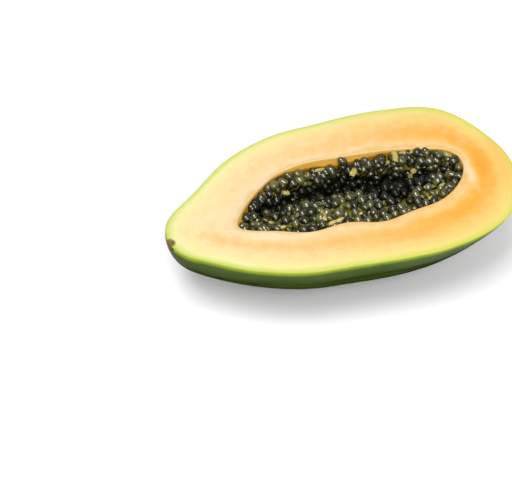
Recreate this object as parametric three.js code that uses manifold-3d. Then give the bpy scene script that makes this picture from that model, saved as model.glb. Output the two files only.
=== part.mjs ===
// Half a papaya, cut lengthwise and lying on its skin with the cut face up and level.
// Millimetres. +X runs along the fruit from the blossom end to the stem end, +Y goes across it,
// and +Z points up. The origin is the middle of the fruit's length, on the flat spot it rests on.

import * as THREE from "three";
import { mergeVertices } from "three/addons/utils/BufferGeometryUtils.js";
import Module from "manifold-3d";

const wasm = await Module();
wasm.setup();

// Fruit
const LENGTH = 230; // blossom end to stem end
const CUT_HEIGHT = 61; // cut face above the flat spot
const STATIONS = [0, 0.08, 0.2, 0.35, 0.5, 0.7, 0.88, 1]; // shares of a length, from the blossom end
// Half-width that an oval as full as the fruit is at each station would have at its middle
const BACK_FULLNESS = [41, 41, 55, 60, 60, 67, 77, 62];
const FRONT_FULLNESS = [57, 50, 54, 57, 57, 63.5, 75, 95];
const KEEL_FULLNESS = [60, 53, 49.5, 56, 64, 71, 68, 67];
const SIDE_BEND = 4; // both ends lie this far to the front of the middle
const CORE_RISE = 3; // the fruit's own axis above the cut face, at the middle
const CORE_TILT = 9; // and how much higher than that at the stem end, and lower at the other
const LOBES = 5; // soft lengthwise ridges, as the fruit has carpels
const LOBE_RELIEF = 0.012; // share of the radius
const SKIN_FACETS = [72, 44]; // round the fruit, and from end to end

// Blossom-end nub and stem scar
const NUB_RADIUS = 4.2;
const NUB_HEIGHT = 0.9;
const NUB_PLACE = [-12, -1.5]; // across the fruit, and its height counted from the cut face
const STEM_DIMPLE_RADIUS = 9.5;
const STEM_DIMPLE_DEPTH = 2.4;
const STEM_STUB_RADIUS = 5;
const STEM_STUB_HEIGHT = 1.6;
const STEM_SCAR = [108.5, -3.5, -10.5]; // scar's centre, its height counted from the cut face
const STEM_SCAR_TILT = 30; // degrees that it faces down
const DIMPLE_FACETS = [24, 12];
const STUB_SIDES = 20;

// Seed hollow
const HOLLOW_START = -69; // along X
const HOLLOW_END = 82;
const HOLLOW_FULLNESS = [17.5, 23.2, 28.3, 27.7, 26.8, 28.9, 30.2, 35.4];
const HOLLOW_MIDDLE = [-8, -2.9, 1.1, 3.2, 2.1, 0.7, 2.3, 5.2]; // its centre line across the fruit
const HOLLOW_DEPTH = 1; // share of its half-width
const HOLLOW_WAVE = 0.055; // share of its half-width that its front edge wanders by
const HOLLOW_WAVE_LENGTH = 43;
const HOLLOW_WAVE_CREST = 20; // X of one crest
const HOLLOW_HEADROOM = 20; // the cutting shape goes this far above the cut face
const HOLLOW_FACETS = [48, 28]; // round the hollow, and from end to end
const ROOM_FACETS = [36, 22]; // of the room inside it that the seed mass fills
const WALL_GAP = 0.4; // between the seed mass and the hollow's wall
const END_MARGIN = 0.001; // least share of the hollow's length from its ends, where levels are taken

// Seeds
const SEED_RADII = [3.5, 2.9, 2.8];
const SEED_FACET_SWELL = 1.05; // corners out past the true egg shape, so that the volume is right
const SEED_SIZE_SPREAD = 0.1;
const SEED_PITCH = 6.4; // between seeds in a row, which runs across the hollow
const ROW_PITCH = 5.6; // between rows
const ROW_NUMBERS = 100; // seed numbers kept for each row
const SEED_JITTER = 0.8;
const SEED_WALL_ROOM = 2.2; // least distance across from a seed's centre to the wall beside it
const ROW_END_ROOM = 2.5; // distance from the hollow's ends to the first and last rows
const DRAWN = { x: 0, y: 1, height: 2, size: 3, turn: [4, 5, 6] }; // purposes of a seed's random draws

// Level of the seeds' centres, below the cut face: a bank along the front edge, a trough behind
// the middle, and a steeper bank up the back wall. Shares across are of the half-width.
const FRONT_LEVEL = 2.8; // at the front edge
const BRINK_LEVEL = 7; // where the front bank ends
const TROUGH_LEVEL = 0.62; // along the trough, as a share of the hollow's half-width there
const BACK_LEVEL = [2.4, 2.4, 2.8, 6.7, 8, 3.6, 2.6, 2.6]; // at the back edge, for each station
const TROUGH_FRONT = [0, 0.25]; // share across where the front bank drops away, and where it ends
const TROUGH_BACK = [0.5, 0.85]; // share across where the back bank starts to climb, and where it ends

// Bed that the seeds stand out of
const BED_SINK = 0.2; // its surface below the seeds' centres
const BED_WIDTH = 70; // of the block that it is cut from
const BED_FLOOR = 40; // below the cut face
const BED_GRID = [30, 20];

// Smooth curve through one value for each station
function profile(values, share) {
  const last = STATIONS.length - 1;
  const slopes = values.map((_, i) => {
    const before = Math.max(i - 1, 0);
    const after = Math.min(i + 1, last);
    return (values[after] - values[before]) / (STATIONS[after] - STATIONS[before]);
  });
  let i = 0;
  while (i < last - 1 && share > STATIONS[i + 1]) i += 1;
  const span = STATIONS[i + 1] - STATIONS[i];
  const t = (share - STATIONS[i]) / span;
  const rise = t * t * (3 - 2 * t);
  const leave = t * (1 - t) * (1 - t) * span;
  const arrive = t * t * (t - 1) * span;
  return values[i] * (1 - rise) + values[i + 1] * rise + slopes[i] * leave + slopes[i + 1] * arrive;
}

// Repeatable draw from 0 to 1 for a seed's number and a purpose
function draw(index, purpose) {
  const value = Math.sin(index * 12.9898 + purpose * 78.233) * 43758.5453;
  return value - Math.floor(value);
}

// Unit sphere with its poles on the X axis, each vertex moved by place(direction)
function shapedSphere(sides, rings, place) {
  const geometry = new THREE.SphereGeometry(1, sides, rings);
  geometry.rotateZ(-Math.PI / 2);
  const positions = geometry.attributes.position;
  const point = new THREE.Vector3();
  for (let i = 0; i < positions.count; i += 1) {
    point.fromBufferAttribute(positions, i);
    place(point);
    positions.setXYZ(i, point.x, point.y, point.z);
  }
  return geometry;
}

function solidOf(geometry) {
  geometry.deleteAttribute("normal");
  geometry.deleteAttribute("uv");
  const merged = mergeVertices(geometry);
  const vertProperties = new Float32Array(merged.attributes.position.array);
  const triVerts = new Uint32Array(merged.index.array);
  return new wasm.Manifold(new wasm.Mesh({ numProp: 3, vertProperties, triVerts }));
}

function geometryOf(solid) {
  const { vertProperties, triVerts } = solid.getMesh();
  const geometry = new THREE.BufferGeometry();
  geometry.setAttribute("position", new THREE.BufferAttribute(vertProperties, 3));
  geometry.setIndex(new THREE.BufferAttribute(triVerts, 1));
  geometry.computeVertexNormals();
  return geometry;
}

function largestBody(solid) {
  return solid.decompose().reduce((best, body) => (body.volume() > best.volume() ? body : best));
}

// Point of the whole fruit's skin in a direction out from its core
function placeOnSkin(point) {
  const share = (1 + point.x) / 2;
  const round = Math.hypot(point.y, point.z);
  const sideways = round > 0 ? (point.y / round) ** 2 : 1;
  const flank = point.y > 0 ? BACK_FULLNESS : FRONT_FULLNESS;
  const fullness = profile(flank, share) * sideways + profile(KEEL_FULLNESS, share) * (1 - sideways);
  const lobe = 1 - LOBE_RELIEF * round * round * Math.sin(LOBES * Math.atan2(point.z, point.y));
  const across = point.y * fullness * lobe - SIDE_BEND * point.x ** 2;
  const above = point.z * fullness * lobe + CORE_RISE + CORE_TILT * Math.sin((Math.PI / 2) * point.x);
  const fromNub = Math.hypot(across - NUB_PLACE[0], above - NUB_PLACE[1]) / NUB_RADIUS;
  const nub = point.x < 0 ? NUB_HEIGHT * Math.exp(-fromNub * fromNub) : 0;
  point.set((point.x * LENGTH) / 2 - nub, across, above + CUT_HEIGHT);
}

const hollowShare = (x) => (x - HOLLOW_START) / (HOLLOW_END - HOLLOW_START);

// How full the hollow is at a station; side is 1 at its back edge and -1 at its front edge
function hollowFullness(share, side) {
  const x = HOLLOW_START + share * (HOLLOW_END - HOLLOW_START);
  const wave = Math.cos((2 * Math.PI * (x - HOLLOW_WAVE_CREST)) / HOLLOW_WAVE_LENGTH);
  return profile(HOLLOW_FULLNESS, share) * (1 + HOLLOW_WAVE * wave * Math.max(-side, 0));
}

function placeOnHollow(point, gap) {
  const share = (1 + point.x) / 2;
  const round = Math.hypot(point.y, point.z);
  const side = round > 0 ? point.y / round : 0;
  const across = hollowFullness(share, side) - gap;
  const below = profile(HOLLOW_FULLNESS, share) * HOLLOW_DEPTH - gap;
  const halfLength = (HOLLOW_END - HOLLOW_START) / 2;
  point.set(
    (HOLLOW_START + HOLLOW_END) / 2 + point.x * (halfLength - gap),
    profile(HOLLOW_MIDDLE, share) + point.y * across,
    CUT_HEIGHT + point.z * (point.z > 0 ? HOLLOW_HEADROOM : below),
  );
}

// Half-width of the hollow at a station, at its edge or further down its wall
function hollowHalfWidth(share, side, depth) {
  const oval = Math.sqrt(4 * share * (1 - share));
  const sunk = Math.min(depth / (oval * profile(HOLLOW_FULLNESS, share) * HOLLOW_DEPTH), 1);
  return oval * hollowFullness(share, side) * Math.sqrt(1 - sunk * sunk);
}

// Depth of the seeds' centres below the cut face, over the hollow's plan
function seedDepth(x, y) {
  const { clamp, lerp, smoothstep } = THREE.MathUtils;
  const share = clamp(hollowShare(x), END_MARGIN, 1 - END_MARGIN);
  const halfWidth = hollowHalfWidth(share, 0, 0);
  const across = clamp((y - profile(HOLLOW_MIDDLE, share)) / halfWidth, -1, 1);
  const front = lerp(FRONT_LEVEL, BRINK_LEVEL, smoothstep(across, -1, TROUGH_FRONT[0]));
  const bottom = Math.max(front, TROUGH_LEVEL * halfWidth);
  const dropped = lerp(front, bottom, smoothstep(across, ...TROUGH_FRONT));
  return lerp(dropped, profile(BACK_LEVEL, share), smoothstep(across, ...TROUGH_BACK));
}

// Round corky scar where the stalk broke off, sunk in a dimple at the stem end
function withStemScar(fruit) {
  const place = new THREE.Matrix4()
    .makeTranslation(STEM_SCAR[0], STEM_SCAR[1], CUT_HEIGHT + STEM_SCAR[2])
    .multiply(new THREE.Matrix4().makeRotationY(THREE.MathUtils.degToRad(STEM_SCAR_TILT)));
  const dimple = new THREE.SphereGeometry(STEM_DIMPLE_RADIUS, ...DIMPLE_FACETS);
  dimple.scale(STEM_DIMPLE_DEPTH / STEM_DIMPLE_RADIUS, 1, 1);
  dimple.applyMatrix4(place);
  const stubLength = STEM_DIMPLE_RADIUS;
  const stub = new THREE.CylinderGeometry(STEM_STUB_RADIUS, STEM_STUB_RADIUS, stubLength, STUB_SIDES);
  stub.rotateZ(Math.PI / 2);
  stub.translate(STEM_STUB_HEIGHT - STEM_DIMPLE_DEPTH - stubLength / 2, 0, 0);
  stub.applyMatrix4(place);
  return fruit.subtract(solidOf(dimple)).add(solidOf(stub));
}

// Everything between the flat spot and the cut face
function lyingSlab() {
  const slab = new THREE.BoxGeometry(2 * LENGTH, 2 * LENGTH, CUT_HEIGHT);
  slab.translate(0, 0, CUT_HEIGHT / 2);
  return solidOf(slab);
}

function makeFruit() {
  const whole = withStemScar(solidOf(shapedSphere(...SKIN_FACETS, placeOnSkin)));
  const hollow = solidOf(shapedSphere(...HOLLOW_FACETS, (point) => placeOnHollow(point, 0)));
  return largestBody(whole.intersect(lyingSlab()).subtract(hollow));
}

// Bed under the seeds: a block whose top follows the seeds' depth
function makeBed() {
  const block = new THREE.BoxGeometry(HOLLOW_END - HOLLOW_START, BED_WIDTH, 1, ...BED_GRID, 1);
  block.translate((HOLLOW_START + HOLLOW_END) / 2, 0, 0);
  const positions = block.attributes.position;
  for (let i = 0; i < positions.count; i += 1) {
    const top = seedDepth(positions.getX(i), positions.getY(i)) + BED_SINK;
    positions.setZ(i, CUT_HEIGHT - (positions.getZ(i) > 0 ? top : BED_FLOOR));
  }
  return solidOf(block);
}

function makeSeed(index, x, y) {
  const seed = new THREE.IcosahedronGeometry(SEED_FACET_SWELL, 0);
  const size = 1 + SEED_SIZE_SPREAD * (2 * draw(index, DRAWN.size) - 1);
  seed.scale(...SEED_RADII.map((radius) => radius * size));
  const turn = new THREE.Euler(...DRAWN.turn.map((purpose) => Math.PI * draw(index, purpose)));
  seed.applyMatrix4(new THREE.Matrix4().makeRotationFromEuler(turn));
  const lift = SEED_JITTER * (2 * draw(index, DRAWN.height) - 1);
  seed.translate(x, y, CUT_HEIGHT - seedDepth(x, y) + lift);
  return solidOf(seed);
}

// Seeds in rows from wall to wall of the hollow, every other row staggered, and each seed a little
// off its place but clear of the wall
function seedPlaces() {
  const places = [];
  const rowsLength = HOLLOW_END - HOLLOW_START - 2 * ROW_END_ROOM;
  const rows = Math.round(rowsLength / ROW_PITCH);
  for (let row = 0; row <= rows; row += 1) {
    const rowX = HOLLOW_START + ROW_END_ROOM + (rowsLength * row) / rows;
    const rowShare = hollowShare(rowX);
    const back = profile(HOLLOW_MIDDLE, rowShare) + hollowHalfWidth(rowShare, 1, 0);
    const front = profile(HOLLOW_MIDDLE, rowShare) - hollowHalfWidth(rowShare, -1, 0);
    const steps = Math.max(1, Math.round((back - front - 2 * SEED_WALL_ROOM) / SEED_PITCH));
    const stagger = row % 2;
    for (let step = 0; step <= steps - stagger; step += 1) {
      const index = row * ROW_NUMBERS + step;
      const x = rowX + SEED_JITTER * (2 * draw(index, DRAWN.x) - 1);
      const along = front + ((back - front) * (step + stagger / 2)) / steps;
      const y = along + SEED_JITTER * (2 * draw(index, DRAWN.y) - 1);
      const middle = profile(HOLLOW_MIDDLE, hollowShare(x));
      const wall = hollowHalfWidth(hollowShare(x), Math.sign(y - middle), seedDepth(x, y));
      const reach = Math.max(wall - SEED_WALL_ROOM, 0);
      places.push([index, x, middle + THREE.MathUtils.clamp(y - middle, -reach, reach)]);
    }
  }
  return places;
}

function makeSeeds() {
  const room = solidOf(shapedSphere(...ROOM_FACETS, (point) => placeOnHollow(point, WALL_GAP)));
  const mass = seedPlaces().reduce((sum, place) => sum.add(makeSeed(...place)), makeBed());
  return largestBody(mass.intersect(room));
}

function makeNode(name, solid, color, roughness) {
  const material = new THREE.MeshStandardMaterial({ color, roughness, metalness: 0 });
  const node = new THREE.Mesh(geometryOf(solid), material);
  node.name = name;
  return node;
}

const papaya = new THREE.Group();
papaya.add(makeNode("papaya_half", makeFruit(), 0xf9c98a, 0.55));
papaya.add(makeNode("seeds", makeSeeds(), 0x23241a, 0.3));

export default papaya;
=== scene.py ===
"""Half a papaya lying on its skin: waxy green skin, moist flesh, and a hollow full of wet seeds."""

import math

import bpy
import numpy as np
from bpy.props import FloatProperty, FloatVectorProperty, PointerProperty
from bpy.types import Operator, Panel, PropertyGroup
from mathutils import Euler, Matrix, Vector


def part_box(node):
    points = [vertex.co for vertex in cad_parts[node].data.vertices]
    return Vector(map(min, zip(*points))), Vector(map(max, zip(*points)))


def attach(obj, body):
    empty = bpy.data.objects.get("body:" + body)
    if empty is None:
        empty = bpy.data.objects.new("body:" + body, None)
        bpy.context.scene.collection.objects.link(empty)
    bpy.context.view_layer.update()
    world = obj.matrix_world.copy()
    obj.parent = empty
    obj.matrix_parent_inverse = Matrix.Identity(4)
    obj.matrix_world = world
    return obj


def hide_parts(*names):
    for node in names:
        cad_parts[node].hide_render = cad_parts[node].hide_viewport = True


bl_info = {
    "name": "Papaya Half",
    "version": (1, 0, 0),
    "blender": (4, 5, 0),
    "location": "3D View > Sidebar > Papaya",
    "description": "Half a papaya with waxy skin, moist flesh and wet seeds",
    "category": "Add Mesh",
}

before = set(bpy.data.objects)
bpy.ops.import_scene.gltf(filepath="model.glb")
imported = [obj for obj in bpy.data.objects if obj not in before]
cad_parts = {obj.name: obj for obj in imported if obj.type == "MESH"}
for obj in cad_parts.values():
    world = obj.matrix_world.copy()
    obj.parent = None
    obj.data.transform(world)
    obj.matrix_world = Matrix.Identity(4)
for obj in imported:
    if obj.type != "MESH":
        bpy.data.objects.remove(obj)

FRUIT_LOW, FRUIT_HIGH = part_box("papaya_half")
SEEDS_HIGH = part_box("seeds")[1]
CUT_HEIGHT = FRUIT_HIGH.z
MM = 0.001

# Shares of a length, from the blossom end, and the fruit's fullness at each: the half-width in
# millimetres that an oval as full as the fruit is there would have at its middle. The hollow's is
# along its own length, and so is the Y of its middle line.
STATIONS = (0, 0.08, 0.2, 0.35, 0.5, 0.7, 0.88, 1)
BACK_FULLNESS = (41, 41, 55, 60, 60, 67, 77, 62)
FRONT_FULLNESS = (57, 50, 54, 57, 57, 63.5, 75, 95)
KEEL_FULLNESS = (60, 53, 49.5, 56, 64, 71, 68, 67)
HOLLOW_FULLNESS = (17.5, 23.2, 28.3, 27.7, 26.8, 28.9, 30.2, 35.4)
HOLLOW_MIDDLE = (-8, -2.9, 1.1, 3.2, 2.1, 0.7, 2.3, 5.2)
LOBES = 5
NUB = (-0.1133, -0.012, CUT_HEIGHT - 0.0015)
STEM_SCAR = (0.1085, -0.0035, CUT_HEIGHT - 0.0105)

# Shares of the radius over which the sides of the dimple and of the scar in it slope, and over
# which the cork of the nub and of the scar gives way to skin
DIMPLE_SIDE = (0.5, 1)
SCAR_SIDE = (0.85, 1.1)
NUB_CORK = (0.55, 1.54)
SCAR_CORK = (0.84, 1.56)
WALL_SHADE_REACH = (0.5 * MM, 3.5 * MM)  # heights above the seeds over which the painted shade on the wall fades

# Rings of the fruit's mesh, from its keel up over the rim and down to the hollow's bottom
COLUMNS = 384
SKIN_RINGS = 72
CUT_RINGS = 44
WALL_RINGS = 28
CUT_CROWDING = 0.8  # draws the cut face's rings towards both its edges
WALL_CROWDING = 1.3  # draws the wall's rings towards the hollow's edge

# Unevenness of each part of the fruit: its grain and height, and the way it stands out
RELIEFS = {
    "skin": (30 * MM, 0.6 * MM, "NORMAL"),
    "cut": (11 * MM, 0.4 * MM, "Z"),
    "wall": (5 * MM, 1.2 * MM, "NORMAL"),
}
SKIN_FADE = 0.12  # share of the skin's rings over which it fades by the rim
CUT_FADE = 12  # how fast it grows from both edges of the cut face
WALL_FADE = 0.2  # share of the wall's rings over which it grows from the hollow's edge

# Depth of the seeds below the cut face along the hollow's back edge, in millimetres, and the
# shares of its half-width between which the seeds drop into the trough and climb out of it
BACK_LEVEL = (4.4, 4.2, 3.4, 6.7, 8, 4.4, 2.8, 3.0)
TROUGH_FRONT = (0, 0.25)
TROUGH_BACK = (0.5, 0.85)
BACK_BANK = (0.35, 0.6)  # shares of it over which light starts to reach deeper on the back bank
LEAST_SHADE = -0.6  # least painted shade of the seeds: below 0 it is painted light, where most light falls
END_MARGIN = 0.001  # least share of the hollow's length from its ends, where levels are taken
STEEP = 0.45  # slope of the seeds' level above which more seeds are needed to cover it

# The bed of wet tissue under the seeds
BED_COLUMNS = 160
BED_WALL_RINGS = 16
BED_TOP_RINGS = 24
BED_FIT = 0.995  # its size beside the hollow
BED_PALE = 0.55  # how pale it is where its painted shade is 0
BED_CONTRAST = 1.3  # how much less pale where its painted shade is 1
BED_LUMPS = (2.5 * MM, 2.6 * MM)  # grain and height

# Seeds, modelled with a radius of 1: how narrow the top end is, and how deep the dents are
SEED_SHAPES = ((0.82, 0.16), (0.87, 0.21), (0.92, 0.26))
SEED_COLUMNS = 10
SEED_RINGS = 6
SEED_TOP = 0.3  # height above which the top end narrows
SEED_STRETCH = 1.06  # how much longer that end grows
SEED_FOOT = -0.6  # height below which the foot narrows
FOOT_TAPER = 0.9  # how narrow the foot is
DENT_SIZE = 0.7

# Layers of seeds between and below the top one: their first seed's number, how far they're shifted
# along the hollow in rows and across it in half seeds, how much deeper they lie, and whether they
# lie everywhere or only where the level is steep or deep, since the top layer hides them elsewhere
BETWEEN_LAYERS = (
    (5000, 0.5, 0, 3.7 * MM, True),
    (12000, 0.0, 1, 0.0, False),
    (16000, 0.5, 1, 1.5 * MM, False),
)
ROW_NUMBERS = 100  # seed numbers kept for each row

# Seeds that stand proud of the rest: the first one's number, and the X, Y and depth of each in
# millimetres
FIRST_PROUD = 9000
PROUD_SEEDS = (
    (8, 27, 1.8),
    (-52.7, -14.3, 1.9),
    (-29.5, -20.8, 1.9),
    (57.4, -16.8, 1.8),
    (64.3, -14, 1.8),
    (70.4, -10.2, 1.9),
    (51, 24.2, 2.4),
    (57, 22.8, 1.9),
    (62.6, 20.8, 1.8),
    (68.2, 18, 1.9),
    (77.6, 9.4, 2.1),
    (79.2, 3.6, 2.2),
    (77.6, -2.6, 2.2),
    (-65.6, -6.6, 3.6),
    (-60, -12, 2.0),
    (57.6, 16.8, 5.6),
    (63, 15.2, 5.8),
    (46, 19.5, 4.2),
    (72.6, 0.4, 4.8),
    (-15.9, 23.5, 6.2),
)

# Colours of the cut face, from the rind to the hollow, where it is pale and where it is riper
PALE_BANDS = (
    (0.0, "#b4c850"),
    (0.025, "#cfdb6a"),
    (0.055, "#dfe586"),
    (0.13, "#f4eeaa"),
    (0.3, "#fbe6aa"),
    (0.45, "#fde2aa"),
    (0.6, "#fddda4"),
    (0.75, "#fde0ac"),
    (0.9, "#f6deb4"),
    (0.96, "#ecca90"),
    (1.0, "#f2cc84"),
)
RIPE_BANDS = (
    (0.0, "#c6cf48"),
    (0.025, "#dcdc5c"),
    (0.055, "#e8de6e"),
    (0.13, "#f5de80"),
    (0.3, "#fdd276"),
    (0.45, "#fdc05a"),
    (0.6, "#fdb740"),
    (0.72, "#fdba46"),
    (0.87, "#fcd084"),
    (0.95, "#f4c47a"),
    (1.0, "#f4c870"),
)

# Soft patches, each with its X and Y, length and width in millimetres, and turn in degrees.
# How much riper the flesh is in a patch:
RIPE_PATCHES = (
    (94, 1, 9, 22, 6, 0.6),
    (84.5, -4, 5, 22, 4, -0.6),
    (-80, -17.5, 44, 8, -28, 0.35),
    (-48, -30.5, 36, 9, -14, 0.3),
    (-13, -36.3, 40, 9, -5, 0.25),
    (28, -39.5, 50, 9, -3, 0.2),
    (-49, -23, 24, 7, -15, -0.4),
    (-84, 2, 26, 14, 20, -0.25),
    (67, -32, 34, 10, 22, 0.25),
    (106, 2, 12, 60, 4, 0.3),
)
# How much painted shade the seeds get in a patch, or, where it is below 0, painted light:
SHADE_PATCHES = (
    (30, -1, 24, 11, -10, 0.9),
    (38, -6, 10, 9, 0, 0.6),
    (52, 1, 22, 8, -8, 0.7),
    (-49, 9, 22, 9, 30, 0.5),
    (60, -11, 18, 7, 12, -0.8),
    (-38, 19, 12, 6, 25, -0.7),
    (-20, 22.5, 9, 6, 0, -0.9),
    (-9, 23, 8, 5, 0, -0.7),
    (3, 0, 16, 8, 5, -0.4),
    (-12, -12, 20, 10, 0, -0.4),
    (-40, -14, 40, 12, -10, -0.2),
    (-6, 19, 40, 8, 0, 0.7),
    (15, 18, 18, 6, -10, 0.5),
    (-44, 11, 12, 6, 20, 0.4),
)

# Scraps of the tissue that the seeds grow on: X and Y, how far they stand above the seeds' level,
# length and width, all in millimetres, turn in degrees, and how pale they are
SCRAPS = (
    (-32.8, 16.8, 2.6, 5.8, 4.0, -20, 0.8),
    (-26.4, 10.8, 1.4, 8.5, 2.2, -48, 0.2),
    (-14, -12.5, 2.1, 11.0, 4.6, 78, 1.1),
    (13.6, 21.5, 1.8, 8.4, 6.0, 60, 0.95),
    (41.8, 22.4, 2.2, 9.0, 4.2, 85, 0.9),
    (52.5, 14.4, 3.0, 4.6, 4.0, 30, 0.7),
    (49.3, 9.5, 3.4, 12.0, 3.2, 80, 0.35),
    (-42.6, -15.6, 1.6, 6.2, 2.2, 0, 1.0),
    (-47.7, -8.9, 1.6, 3.4, 2.2, -25, 0.7),
    (-5.9, -19.3, 1.8, 6.4, 2.6, 8, 1.1),
    (65.2, -7.6, 2.4, 4.4, 2.8, 15, 0.8),
    (57.5, -5.5, 2.0, 9.0, 2.8, 2, 0.3),
    (-53.9, 7.3, 1.6, 4.0, 2.0, 50, 0.4),
    (2, -6.5, 1.5, 5.0, 2.2, -15, 0.35),
    (24, -12, 1.5, 5.5, 2.2, 35, 0.3),
    (-30, -6.5, 1.4, 4.4, 2.4, 60, 0.3),
    (-7.4, 26, 2.4, 7.0, 2.4, 8, 0.75),
    (10, -17.5, 1.8, 5.0, 2.2, -5, 0.9),
    (49.6, 23.9, 0.8, 10.0, 3.6, -12, 0.75),
    (74.4, 15.8, 1.2, 8.0, 3.4, -45, 0.5),
    (55.9, -15.8, 1.4, 5.0, 2.6, 15, 0.9),
    (61.5, -12.6, 1.6, 4.6, 2.4, 25, 0.8),
    (-10.4, -20.0, 1.4, 5.4, 2.8, 10, 1.15),
)
SCRAP_COLUMNS = 32
SCRAP_RINGS = 20
SCRAP_LUMPS = (0.7, 0.9)  # grain and height, as shares of a scrap's half-size
SCRAP_LEAN = 0.3  # most that it leans to any side, in radians
FLATNESS = 1.5  # a scrap's width over its height

# Softboxes: name, place, size in metres and power in watts
LIGHTS = (
    ("key_softbox", (-0.20, -0.12, 1.20), 0.6, 10.0),
    ("front_softbox", (0.10, -0.75, 0.90), 0.5, 6.0),
)
SENSOR_WIDTH = 36  # of the camera, in millimetres


def linear(hex_colour):
    """Linear RGBA of an sRGB hex colour such as '#4c7a3a'"""
    channels = [int(hex_colour[i : i + 2], 16) / 255 for i in (1, 3, 5)]
    curve = [c / 12.92 if c <= 0.04045 else ((c + 0.055) / 1.055) ** 2.4 for c in channels]
    return (*curve, 1.0)


def length_property(name, description, default):
    """Size in metres that shows in the scene's own unit"""
    return FloatProperty(
        name=name, description=description, default=default, unit="LENGTH", precision=4
    )


def colour_property(name, description, hex_colour):
    """Colour given as sRGB hex"""
    return FloatVectorProperty(
        name=name,
        description=description,
        default=linear(hex_colour),
        size=4,
        subtype="COLOR",
        min=0,
        max=1,
    )


def number_property(name, description, default):
    """Number without a unit"""
    return FloatProperty(name=name, description=description, default=default)


def angle_property(name, description, degrees):
    """Angle given in degrees"""
    radians = math.radians(degrees)
    return FloatProperty(name=name, description=description, default=radians, subtype="ANGLE")


class PapayaFruitSettings(PropertyGroup):
    length: length_property("Length", "Blossom end to stem end", 0.230)
    side_bend: length_property("Side bend", "Both ends lie this far to the front of the middle", 0.004)
    core_rise: length_property("Core rise", "The fruit's own axis above the cut face, at the middle", 0.003)
    core_tilt: length_property("Core tilt", "Extra rise of the axis at the stem end", 0.009)
    lobe_relief: number_property("Lobe relief", "Share of the radius", 0.012)
    nub_radius: length_property("Nub radius", "Dry nub at the blossom end", 0.0042)
    nub_height: length_property("Nub height", "How far the nub stands out", 0.0009)
    dimple_radius: length_property("Dimple radius", "Dimple round the stem scar", 0.0095)
    dimple_depth: length_property("Dimple depth", "Depth of that dimple", 0.0024)
    scar_radius: length_property("Scar radius", "Corky scar where the stalk broke off", 0.0050)
    scar_height: length_property("Scar height", "How far the scar stands up in its dimple", 0.0016)
    scar_tilt: angle_property("Scar tilt", "How far the scar faces down", 30)
    rim_round: length_property("Rim rounding", "Rounding of the skin's cut edge", 0.0004)
    lip_round: length_property("Lip rounding", "Rounding of the hollow's edge", 0.0012)
    hollow_start: length_property("Hollow start", "X where the hollow starts", -0.069)
    hollow_end: length_property("Hollow end", "X where the hollow ends", 0.082)
    hollow_depth: number_property("Hollow depth", "Share of its half-width", 1.0)
    hollow_wave: number_property("Hollow wave", "Share of its half-width", 0.055)
    wave_length: length_property("Wave length", "Of the hollow's wavy front edge", 0.043)
    wave_crest: length_property("Wave crest", "X of one crest of that edge", 0.020)
    # Painted shade: the colour that the skin is darkened to towards the keel
    skin_painted_shade: colour_property("Skin, dark", "The skin towards the keel", "#191a08")
    skin_mid: colour_property("Skin", "The skin towards the rim", "#44581d")
    skin_light: colour_property("Skin, light", "Ridges and streaks", "#4e6624")
    skin_speck: colour_property("Specks", "Pale pores in the skin", "#7f9450")
    rim_lime: colour_property("Rim", "Skin just under the cut", "#9cb02c")
    cork: colour_property("Cork", "Dry nub and stem scar", "#8a6432")
    cork_dark: colour_property("Cork, dark", "Cracks and edge of the cork", "#33220e")
    cork_cut: colour_property("Cork, cut", "Cut edge of the nub", "#60491c")
    flesh_ripe: colour_property("Flesh, riper", "Riper patches", "#fba428")
    flesh_pale: colour_property("Flesh, paler", "Paler patches", "#fdecc8")
    wall_edge: colour_property("Hollow wall, edge", "Wall by the cut face", "#ecc05c")
    wall_deep: colour_property("Hollow wall, deep", "Wall further down", "#e8a01c")
    # Painted shade on the wall just above the seeds, where they shut out the light
    wall_painted_shade: colour_property("Hollow wall, stained", "Wall by the seeds", "#9a6418")


class PapayaSeedSettings(PropertyGroup):
    radii: FloatVectorProperty(
        name="Seed radii",
        description="Half-sizes of a seed",
        default=(0.0037, 0.0031, 0.0029),
        unit="LENGTH",
        precision=4,
    )
    spread: number_property("Size spread", "Share by which seeds differ", 0.18)
    pitch: length_property("Seed pitch", "Between seeds in a row, which runs across the hollow", 0.0064)
    row_pitch: length_property("Row pitch", "Between rows of seeds", 0.0056)
    jitter: length_property("Jitter", "How far a seed strays from its place", 0.0017)
    wall_room: length_property("Wall room", "Least distance across from a seed's centre to the wall", 0.0022)
    row_end_room: length_property("Row end room", "From the hollow's ends to the end rows", 0.0025)
    bed_drop: length_property("Bed drop", "From the top layer of seeds to the bed", 0.0012)
    front_level: length_property("Front level", "Depth of the seeds at the front edge", 0.0028)
    brink_level: length_property("Brink level", "Depth of the seeds where the front bank ends", 0.007)
    trough_level: number_property("Trough level", "Depth of the trough, as a share of the half-width", 0.62)
    # Painted shade of the seeds: the depth at which it is full, and how much deeper it starts on the back
    # bank
    shade_level: length_property("Shade level", "Depth below which seeds are all dark", 0.013)
    bank_reach: length_property("Bank reach", "How much deeper light reaches on the back bank", 0.003)
    seed_dark: colour_property("Seed, dark", "Deepest colour of a seed", "#0d0e07")
    seed_olive: colour_property("Seed, olive", "Thin places of a seed's jelly coat", "#35340f")
    seed_grey: colour_property("Seed, grey", "Cloudy places of a seed's jelly coat", "#5c5a28")
    # Painted shade: the bed's colour in the trough, where light hardly reaches
    bed_painted_shade: colour_property("Bed, dark", "Wet tissue in the trough", "#0e0b04")
    bed_olive: colour_property("Bed, olive", "Wet tissue between the seeds of the banks", "#9c9434")
    tissue: colour_property("Tissue", "Pale scraps that the seeds grow on", "#b5a55c")
    tissue_olive: colour_property("Tissue, olive", "Wet scraps stained by the seeds", "#5a5426")


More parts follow.
